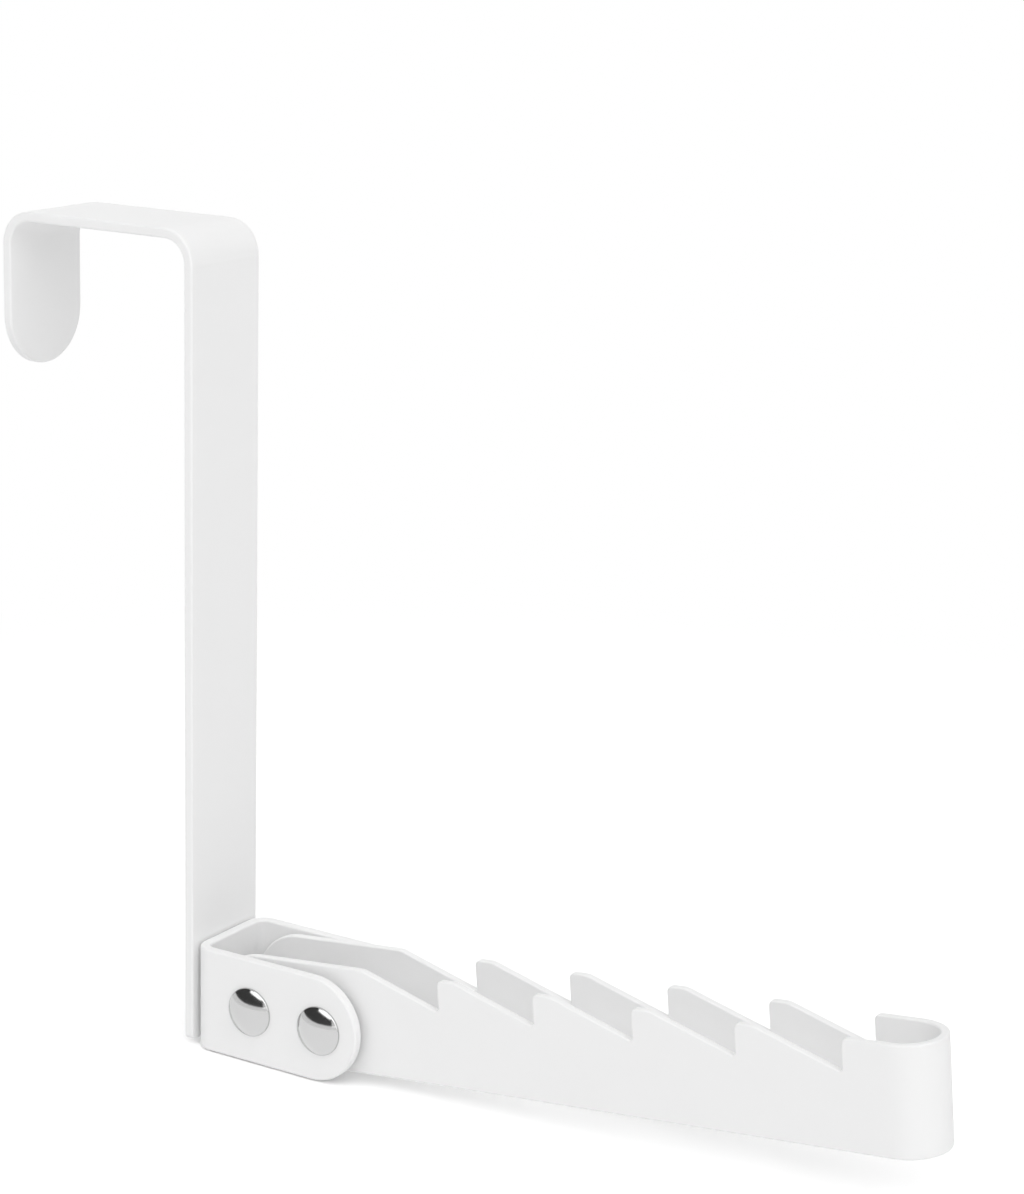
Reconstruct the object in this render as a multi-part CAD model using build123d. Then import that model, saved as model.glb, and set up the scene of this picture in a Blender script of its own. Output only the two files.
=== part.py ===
from build123d import *
import os
from math import cos, radians, sin, sqrt, tan

# Over door hook with a folding, notched hanger arm. Lengths in millimetres, angles in degrees.
# The origin is the centre of the saddle, the underside of the strap's top where it rests on the door.
# +X points away from the door along the arm, +Z points up, and the part is even about the XZ plane.

# Strap that hangs over the door
door_gap = 50.8
strap_width = 25.4
strap_sheet = 2.4
strap_bend_radius = 5.7
back_leg_height = 37.6
front_leg_height = 194.0
strap_foot_corner = 1.5
strap_edge_round = 0.55

# Bracket that carries both rivets. Two weld pads on its back join it to the front leg.
bracket_width = 26.6
bracket_height = 25.4
bracket_reach = 47.6
bracket_sheet = 2.5
bracket_bend_radius = 2.2
bracket_below_strap = 1.0
bracket_edge_round = 0.5
weld_gap = 0.5
weld_pad_diameter = 7.0
weld_pad_spacing = 12.0

# Rivets, which are shouldered: the shank keeps the ears apart and a tenon goes through each ear
pivot_from_strap = 17.4
rivet_spacing = 19.8
shank_diameter = 7.0
tenon_diameter = 5.5
tenon_clearance = 0.03
head_diameter = 11.8
head_height = 2.4
head_rim = 0.45
head_edge_round = 0.35

# Arm, one strip folded back on itself at the tip
arm_reach = 172.4
arm_sheet = 2.0
side_play = 1.7
pivot_to_top_edge = 12.4
pivot_to_bottom_edge = 12.8
arm_edge_round = 0.45
arm_rise = 6.0
pivot_running_clearance = 0.06
stop_clearance = 0.25
slot_sweep = 70.0
slot_mouth_round = 2.4

# Hanger notches along the arm's top edge
notch_count = 5
notch_pitch = 25.4
notch_depth = 7.6
notch_slope = 20.1
first_notch_from_pivot = 50.8
notch_foot_round = 0.7
tooth_wall_round = 1.3
tooth_slope_round = 4.0

# Sizes that follow from the ones above
strap_front = door_gap / 2 + strap_sheet
strap_top = strap_sheet
strap_foot = strap_top - front_leg_height
bracket_foot = strap_foot - bracket_below_strap
pivot_x = strap_front + pivot_from_strap
pivot_z = bracket_foot + bracket_height / 2
stop_x = pivot_x + rivet_spacing
ear_inner_gap = bracket_width - 2 * bracket_sheet
arm_width = ear_inner_gap - 2 * side_play
arm_depth = pivot_to_top_edge + pivot_to_bottom_edge
arm_middle = (pivot_to_top_edge - pivot_to_bottom_edge) / 2
slot_inner_radius = rivet_spacing - shank_diameter / 2 - stop_clearance
slot_outer_radius = rivet_spacing + shank_diameter / 2 + stop_clearance
notch_length = notch_depth / tan(radians(notch_slope))


def sharp_edges(solid, smallest_angle=25):
    """Edges where two faces meet at a corner, without the smooth lines beside the bends."""
    faces_at = {}
    for face in solid.faces():
        for edge in face.edges():
            faces_at.setdefault(edge, []).append(face)
    corners = ShapeList()
    for edge, faces in faces_at.items():
        if len(faces) != 2:
            continue
        middle = edge.position_at(0.5)
        first, second = (face.normal_at(middle) for face in faces)
        if first.get_angle(second) > smallest_angle:
            corners.append(edge)
    return corners


def round_ended(length, width):
    """Flat outline that starts at the origin, runs along +X and ends in a half circle."""
    radius = width / 2
    straight = length - radius
    return Pos(straight / 2, 0) * Rectangle(straight, width) + Pos(straight, 0) * Circle(radius)


def make_strap():
    """Flat bar bent over the door, with a short back leg that ends in a half circle."""
    leg = door_gap / 2 + strap_sheet / 2
    top = strap_top - strap_sheet / 2
    back_foot = strap_top - back_leg_height
    middle_line = FilletPolyline(
        (-leg, back_foot),
        (-leg, top),
        (leg, top),
        (leg, strap_foot),
        radius=strap_bend_radius + strap_sheet / 2,
    )
    bar = extrude(Plane.XZ * trace(middle_line, strap_sheet), strap_width / 2, both=True)

    # The legs get their ends from outlines seen from the door, drawn downwards from the top.
    from_door = Plane(origin=(0, 0, strap_top), x_dir=(0, 0, -1), z_dir=(1, 0, 0))
    back_end = round_ended(back_leg_height, strap_width)
    front_end = Pos(front_leg_height / 2, 0) * Rectangle(front_leg_height, strap_width)
    front_end = fillet(front_end.vertices().group_by(Axis.X)[-1], strap_foot_corner)
    ends = extrude(from_door * back_end, -strap_front) + extrude(from_door * front_end, strap_front)
    bar = bar & ends
    return fillet(sharp_edges(bar), strap_edge_round)


def make_bracket():
    """Strip folded to a U, with weld pads behind its web and a hole for each rivet through both ears."""
    web_back = strap_front + weld_gap
    web = web_back + bracket_sheet / 2
    ear = (bracket_width - bracket_sheet) / 2
    ear_end = strap_front + bracket_reach
    middle_line = FilletPolyline(
        (ear_end, -ear),
        (web, -ear),
        (web, ear),
        (ear_end, ear),
        radius=bracket_bend_radius + bracket_sheet / 2,
    )
    bracket = extrude(trace(middle_line, bracket_sheet), bracket_height / 2, both=True)
    bracket = Pos(0, 0, pivot_z) * bracket

    from_side = Plane(origin=(strap_front, 0, pivot_z), x_dir=(1, 0, 0), z_dir=(0, -1, 0))
    outline = round_ended(bracket_reach, bracket_height)
    bracket = bracket & extrude(from_side * outline, bracket_width, both=True)
    bracket = fillet(sharp_edges(bracket), bracket_edge_round)

    web_middle = Plane(origin=(web_back, 0, pivot_z), x_dir=(0, 0, 1), z_dir=(-1, 0, 0))
    for along in (-weld_pad_spacing / 2, weld_pad_spacing / 2):
        bracket += extrude(web_middle * Pos(along, 0) * Circle(weld_pad_diameter / 2), weld_gap)

    hole = Circle(tenon_diameter / 2 + tenon_clearance)
    for x in (pivot_from_strap, pivot_from_strap + rivet_spacing):
        bracket -= extrude(from_side * Pos(x, 0) * hole, bracket_width, both=True)
    return bracket


def make_rivet_head():
    """Domed head on the XY plane, cut from a ball whose poles lie off it, so its crown is one patch."""
    head_radius = head_diameter / 2
    dome_rise = head_height - head_rim
    dome_radius = (head_radius**2 + dome_rise**2) / (2 * dome_rise)
    ball = Pos(0, 0, head_height - dome_radius) * Rot(90, 0, 0) * Sphere(dome_radius)
    head = extrude(Circle(head_radius), head_height) & ball
    rim = head.edges().filter_by(GeomType.CIRCLE).sort_by(Axis.Z)[-1]
    return fillet(rim, head_edge_round)


def make_rivet(x):
    """Rivet through both ears: a shank between them, a tenon in each, and two domed heads."""
    ear_outside = bracket_width / 2
    shank = extrude(Plane.XZ * Circle(shank_diameter / 2), ear_inner_gap / 2, both=True)
    tenons = extrude(Plane.XZ * Circle(tenon_diameter / 2), ear_outside, both=True)
    head = Pos(0, -ear_outside, 0) * Rot(90, 0, 0) * make_rivet_head()
    rivet = shank + tenons + head + mirror(head, Plane.XZ)
    return Pos(x, 0, pivot_z) * rivet


def notched_outline():
    """One cheek seen from the side, with the pivot at the origin and the tip towards +X."""
    top = pivot_to_top_edge
    foot = top - notch_depth
    rear = Pos(0, arm_middle) * Circle(arm_depth / 2)
    bar = Pos(arm_reach / 2, arm_middle) * Rectangle(arm_reach, arm_depth)
    outline = rear + bar
    for index in range(notch_count):
        wall = first_notch_from_pivot + index * notch_pitch
        notch = make_face(Polyline((wall - notch_length, top), (wall, foot), (wall, top), close=True))
        outline -= notch
    for index in range(notch_count):
        wall = first_notch_from_pivot + index * notch_pitch
        for point, radius in (
            ((wall - notch_length, top), tooth_slope_round),
            ((wall, foot), notch_foot_round),
            ((wall, top), tooth_wall_round),
        ):
            outline = fillet(outline.vertices().sort_by_distance(point)[0], radius)
    return outline


def stop_slot():
    """Curved slot about the pivot, from its round end at the stop rivet to below the arm."""
    inner = slot_inner_radius
    outer = slot_outer_radius
    start = radians(-arm_rise)
    mouth = radians(-slot_sweep - arm_rise)
    middle = (start + mouth) / 2

    def at(radius, angle):
        return (radius * cos(angle), radius * sin(angle))

    band = make_face(
        Curve()
        + [
            ThreePointArc(at(inner, start), at(inner, middle), at(inner, mouth)),
            Line(at(inner, mouth), at(outer, mouth)),
            ThreePointArc(at(outer, mouth), at(outer, middle), at(outer, start)),
            Line(at(outer, start), at(inner, start)),
        ]
    )
    return band + Pos(*at(rivet_spacing, start)) * Circle((outer - inner) / 2)


def make_arm():
    """Strip folded back on itself at the tip, with notched cheeks that turn on the pivot rivet."""
    cheek = (arm_width - arm_sheet) / 2
    rear = -arm_depth
    fold = arm_reach - arm_width / 2
    hairpin = Curve() + [
        Line((rear, -cheek), (fold, -cheek)),
        ThreePointArc((fold, -cheek), (fold + cheek, 0), (fold, cheek)),
        Line((fold, cheek), (rear, cheek)),
    ]
    arm = extrude(trace(hairpin, arm_sheet), arm_depth, both=True)
    outline = notched_outline() - stop_slot()
    for radius in (slot_inner_radius, slot_outer_radius):
        corner = (sqrt(radius**2 - pivot_to_bottom_edge**2), -pivot_to_bottom_edge)
        outline = fillet(outline.vertices().sort_by_distance(corner)[0], slot_mouth_round)
    arm = arm & extrude(Plane.XZ * outline, arm_width, both=True)
    arm = fillet(sharp_edges(arm), arm_edge_round)
    bore = Circle(shank_diameter / 2 + pivot_running_clearance)
    arm -= extrude(Plane.XZ * bore, arm_width, both=True)
    arm = Rot(0, -arm_rise, 0) * arm
    return Pos(pivot_x, 0, pivot_z) * arm


def main():
    os.makedirs("parts", exist_ok=True)
    parts = {
        "over_door_strap": make_strap(),
        "pivot_bracket": make_bracket(),
        "folding_arm": make_arm(),
        "pivot_rivet": make_rivet(pivot_x),
        "stop_rivet": make_rivet(stop_x),
    }
    for name, part in parts.items():
        export_step(part, f"parts/{name}.step")


main()
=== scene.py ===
from math import cos, pi, radians, sin

import bpy
from mathutils import Matrix, Quaternion, Vector


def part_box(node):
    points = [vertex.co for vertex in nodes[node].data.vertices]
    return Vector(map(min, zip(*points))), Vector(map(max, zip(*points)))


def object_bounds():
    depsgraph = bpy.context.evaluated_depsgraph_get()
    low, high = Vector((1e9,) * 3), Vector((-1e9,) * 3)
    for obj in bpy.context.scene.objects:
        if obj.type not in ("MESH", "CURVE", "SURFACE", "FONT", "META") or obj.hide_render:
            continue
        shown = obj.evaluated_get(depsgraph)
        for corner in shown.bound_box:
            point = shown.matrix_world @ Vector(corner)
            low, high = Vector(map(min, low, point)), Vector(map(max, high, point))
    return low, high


# White over-door hook with a folding hanger arm, on a pale floor in soft studio light.
# Lengths are in metres and angles in degrees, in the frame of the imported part.

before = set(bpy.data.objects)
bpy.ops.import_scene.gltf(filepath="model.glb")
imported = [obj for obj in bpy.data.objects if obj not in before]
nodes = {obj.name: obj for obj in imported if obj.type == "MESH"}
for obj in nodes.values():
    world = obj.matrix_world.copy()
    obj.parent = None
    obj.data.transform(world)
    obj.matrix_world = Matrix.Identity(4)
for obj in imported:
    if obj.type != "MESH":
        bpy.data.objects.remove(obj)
cad_low, cad_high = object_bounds()
bracket_low, bracket_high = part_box("pivot_bracket")
bracket_middle = (bracket_low + bracket_high) / 2
foot = Vector(((cad_low.x + cad_high.x) / 2, (cad_low.y + cad_high.y) / 2, cad_low.z))

# Camera, solved from the photograph's perspective
image_height = 1194
camera_place = (0.45009, -0.55738, 0.09640)
camera_turn = 31.656
camera_tilt = 14.442
camera_roll = 1.483
focal_length_px = 3076.6
sensor_mm = 36
nearest_seen = 0.01
furthest_seen = 100

# Floor and surroundings. The floor turns to white between two distances from the object's foot.
floor_span = 12.0
floor_gap = 0.0004
floor_colour = 0.92
floor_shown = 1.30
white_from = 0.16
white_beyond = 0.45
ambient_strength = 0.18
background_strength = 1.0

# Dark walls of the room, in front of the object and behind it, which only mirrors see.
# Each stands between two turns about the object, in flat panels.
room_distance = 5.2
room_walls = {"wall_front": (-100, 40), "wall_behind": (100, 180)}
room_step = 20
room_low_rise = 6
room_high_rise = 60
room_grey = 0.065

# Lamps: most are squares of one size, at one distance
lamp_distance = 4.0
lamp_size = 3.0

# Powder coat
paint_colour = (0.90, 0.90, 0.90)
paint_drift = 0.008
paint_roughness = (0.52, 0.64)
paint_ior = 1.5
drift_size = 0.022
mottle_size = 0.0024
mottle_share = 0.5
peel_size = 0.0011
peel_depth = 0.000006

# Rivet steel
steel_colour = (0.54, 0.54, 0.54)
steel_roughness = (0.07, 0.16)
rub_size = 0.0011
rub_depth = 0.000004
ring_scale = 260
ring_waviness = 1.6
ring_depth = 0.0000012


class Graph:
    """A node tree with short calls for adding and joining its nodes."""

    def __init__(self, tree):
        self.tree = tree
        tree.nodes.clear()

    def add(self, kind, inputs=None, **settings):
        node = self.tree.nodes.new(kind)
        for name, value in settings.items():
            setattr(node, name, value)
        for name, value in (inputs or {}).items():
            socket = node.inputs[name]
            if isinstance(value, bpy.types.NodeSocket):
                self.tree.links.new(value, socket)
            else:
                socket.default_value = value
        return node

    def noise(self, place, size, detail, roughness=0.5):
        """Noise whose patches are about the given size."""
        inputs = {"Vector": place, "Scale": 1 / size, "Detail": detail, "Roughness": roughness}
        return self.add("ShaderNodeTexNoise", inputs).outputs["Fac"]

    def math(self, operation, *values, **settings):
        node = self.add("ShaderNodeMath", dict(enumerate(values)), operation=operation, **settings)
        return node.outputs[0]

    def ranged(self, value, low, high):
        """The value, stretched from 0..1 to low..high."""
        inputs = {"Value": value, "To Min": low, "To Max": high}
        return self.add("ShaderNodeMapRange", inputs).outputs["Result"]

    def mix(self, share, first, second):
        """Shader that goes from the first to the second as the share goes from 0 to 1."""
        inputs = {0: share, 1: first.outputs[0], 2: second.outputs[0]}
        return self.add("ShaderNodeMixShader", inputs)

    def bump(self, height, depth, under=None):
        """Surface relief of the given depth, over another relief if one is given."""
        inputs = {"Height": height, "Strength": 1.0, "Distance": depth}
        if under is not None:
            inputs["Normal"] = under
        return self.add("ShaderNodeBump", inputs).outputs["Normal"]


def new_material(name):
    material = bpy.data.materials.new(name)
    material.use_nodes = True
    return material, Graph(material.node_tree)


def grey(level):
    return (level, level, level, 1)


def seen_directly(graph):
    """1 for rays from the camera, a mirror or glass, and 0 for the light that reaches a surface."""
    path = graph.add("ShaderNodeLightPath").outputs
    first = graph.math("ADD", path["Is Camera Ray"], path["Is Glossy Ray"])
    return graph.math("ADD", first, path["Is Transmission Ray"], use_clamp=True)


def powder_coat(name):
    """Satin white powder coat: a fine orange peel, with a slow drift in its gloss and tone."""
    material, graph = new_material(name)
    place = graph.add("ShaderNodeTexCoord").outputs["Object"]
    peel = graph.noise(place, peel_size, detail=2.0, roughness=0.45)
    drift = graph.noise(place, drift_size, detail=3.0)
    mottle = graph.noise(place, mottle_size, detail=2.0)
    darker = [level * (1 - paint_drift) for level in paint_colour]
    lighter = [level * (1 + paint_drift) for level in paint_colour]
    tone = graph.add(
        "ShaderNodeMix",
        {"Factor": drift, "A": (*darker, 1), "B": (*lighter, 1)},
        data_type="RGBA",
    )
    mottled = graph.math("MULTIPLY", mottle, mottle_share)
    gloss = graph.math("MULTIPLY_ADD", drift, 1 - mottle_share, mottled)
    inputs = {
        "Base Color": tone.outputs["Result"],
        "Roughness": graph.ranged(gloss, *paint_roughness),
        "Normal": graph.bump(peel, peel_depth),
        "IOR": paint_ior,
    }
    surface = graph.add("ShaderNodeBsdfPrincipled", inputs)
    graph.add("ShaderNodeOutputMaterial", {"Surface": surface.outputs[0]})
    return material


def polished_steel(name, centre):
    """Bright rivet steel with faint rings about the rivet's axis and small rubbed marks."""
    material, graph = new_material(name)
    place = graph.add("ShaderNodeTexCoord").outputs["Object"]
    from_axis = graph.add("ShaderNodeVectorMath", {0: place, 1: centre}, operation="SUBTRACT")
    rings = graph.add(
        "ShaderNodeTexWave",
        {
            "Vector": from_axis.outputs[0],
            "Scale": ring_scale,
            "Distortion": ring_waviness,
            "Detail": 2.0,
            "Phase Offset": pi / 2,
        },
        wave_type="RINGS",
        rings_direction="Y",
    )
    rub = graph.noise(place, rub_size, detail=4.0, roughness=0.6)
    relief = graph.bump(rings.outputs["Fac"], ring_depth, graph.bump(rub, rub_depth))
    inputs = {
        "Base Color": (*steel_colour, 1),
        "Metallic": 1.0,
        "Roughness": graph.ranged(rub, *steel_roughness),
        "Normal": relief,
    }
    surface = graph.add("ShaderNodeBsdfPrincipled", inputs)
    graph.add("ShaderNodeOutputMaterial", {"Surface": surface.outputs[0]})
    return material


def paint(node, material):
    nodes[node].data.materials.clear()
    nodes[node].data.materials.append(material)


def towards(turn, rise):
    """Direction from the object, at a turn from -Y towards +X and at a rise above level."""
    level = cos(radians(rise))
    return Vector((sin(radians(turn)) * level, -cos(radians(turn)) * level, sin(radians(rise))))


def studio_piece(name, corners, faces, material):
    mesh = bpy.data.meshes.new(name)
    mesh.from_pydata(corners, [], faces)
    mesh.materials.append(material)
    item = bpy.data.objects.new(name, mesh)
    bpy.context.scene.collection.objects.link(item)
    return item


def make_floor():
    """Pale floor with the object's shadow. It shows brighter than it lights, and white far off."""
    material, graph = new_material("floor_white")
    place = graph.add("ShaderNodeTexCoord").outputs["Object"]
    from_foot = graph.add("ShaderNodeVectorMath", {0: place, 1: foot}, operation="DISTANCE")
    distance = from_foot.outputs["Value"]
    inputs = {"Value": distance, "From Min": white_from, "From Max": white_beyond}
    far = graph.add("ShaderNodeMapRange", inputs, interpolation_type="SMOOTHSTEP")
    matt = graph.add("ShaderNodeBsdfDiffuse", {"Color": grey(floor_colour)})
    near = graph.add("ShaderNodeBsdfDiffuse", {"Color": grey(floor_shown)})
    white = graph.add("ShaderNodeEmission", {"Color": grey(1), "Strength": background_strength})
    shown = graph.mix(far.outputs["Result"], near, white)
    surface = graph.mix(seen_directly(graph), matt, shown)
    graph.add("ShaderNodeOutputMaterial", {"Surface": surface.outputs[0]})
    half = floor_span / 2
    z = bracket_low.z - floor_gap
    corners = [(-half, -half, z), (half, -half, z), (half, half, z), (-half, half, z)]
    studio_piece("floor", corners, [(0, 1, 2, 3)], material)


def make_dark_walls():
    """Dark walls of the room. They show in mirrors only, and take no light away."""
    material, graph = new_material("room_dark")
    dark = graph.add("ShaderNodeEmission", {"Color": grey(1), "Strength": room_grey})
    graph.add("ShaderNodeOutputMaterial", {"Surface": dark.outputs[0]})
    for name, (first, last) in room_walls.items():
        corners = []
        for turn in range(first, last + room_step, room_step):
            for rise in (room_low_rise, room_high_rise):
                corners.append(bracket_middle + room_distance * towards(turn, rise))
        faces = [(i, i + 2, i + 3, i + 1) for i in range(0, len(corners) - 2, 2)]
        wall = studio_piece(name, corners, faces, material)
        wall.visible_camera = False
        wall.visible_diffuse = False
        wall.visible_shadow = False
        wall.visible_transmission = False


def make_world():
    world = bpy.data.worlds.new("studio")
    world.use_nodes = True
    bpy.context.scene.world = world
    graph = Graph(world.node_tree)
    ambient = graph.add("ShaderNodeBackground", {"Color": grey(1), "Strength": ambient_strength})
    shown = graph.add("ShaderNodeBackground", {"Color": grey(1), "Strength": background_strength})
    surface = graph.mix(seen_directly(graph), ambient, shown)
    graph.add("ShaderNodeOutputWorld", {"Surface": surface.outputs[0]})


def softbox(name, turn, rise, power, sides=(lamp_size, lamp_size), distance=lamp_distance, lean=0):
    """Soft lamp aimed at the bracket from a turn and a rise, and leaning about its aim."""
    lamp = bpy.data.lights.new(name, "AREA")
    lamp.shape = "RECTANGLE"
    lamp.size, lamp.size_y = sides
    lamp.energy = power
    away = towards(turn, rise)
    item = bpy.data.objects.new(name, lamp)
    item.location = bracket_middle + distance * away
    aim = away.to_track_quat("Z", "Y") @ Quaternion((0, 0, 1), radians(lean))
    item.rotation_euler = aim.to_euler()
    bpy.context.scene.collection.objects.link(item)
    return item


def make_lights():
    """Lamps around the object. Mirrors do not see the left one, so the rivets show the dark wall."""
    softbox("key", turn=-4, rise=37, power=14.5, sides=(2.6, 0.8), distance=3.2, lean=-17)
    softbox("high", turn=45, rise=60, power=75, sides=(4.4, 4.4))
    softbox("right", turn=41, rise=25, power=24)
    softbox("side", turn=90, rise=22, power=26)
    softbox("back", turn=180, rise=50, power=33, sides=(4.8, 4.8))
    softbox("door_side", turn=-115, rise=25, power=20)
    left = softbox("left", turn=-45, rise=30, power=25)
    left.visible_glossy = False
    softbox("far", turn=140, rise=30, power=12)


def make_camera():
    data = bpy.data.cameras.new("camera")
    data.sensor_width = sensor_mm
    data.lens = focal_length_px * sensor_mm / image_height
    data.clip_start = nearest_seen
    data.clip_end = furthest_seen
    camera = bpy.data.objects.new("camera", data)
    turn = Matrix.Rotation(radians(camera_turn), 4, "Z")
    tilt = Matrix.Rotation(radians(90 - camera_tilt), 4, "X")
    roll = Matrix.Rotation(radians(camera_roll), 4, "Z")
    camera.matrix_world = Matrix.Translation(camera_place) @ turn @ tilt @ roll
    bpy.context.scene.collection.objects.link(camera)
    bpy.context.scene.camera = camera


for painted in ("over_door_strap", "pivot_bracket", "folding_arm"):
    paint(painted, powder_coat(painted + "_coat"))
for rivet in ("pivot_rivet", "stop_rivet"):
    rivet_low, rivet_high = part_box(rivet)
    paint(rivet, polished_steel(rivet + "_metal", (rivet_low + rivet_high) / 2))
make_floor()
make_dark_walls()
make_world()
make_lights()
make_camera()
bpy.context.scene.view_settings.view_transform = "Standard"
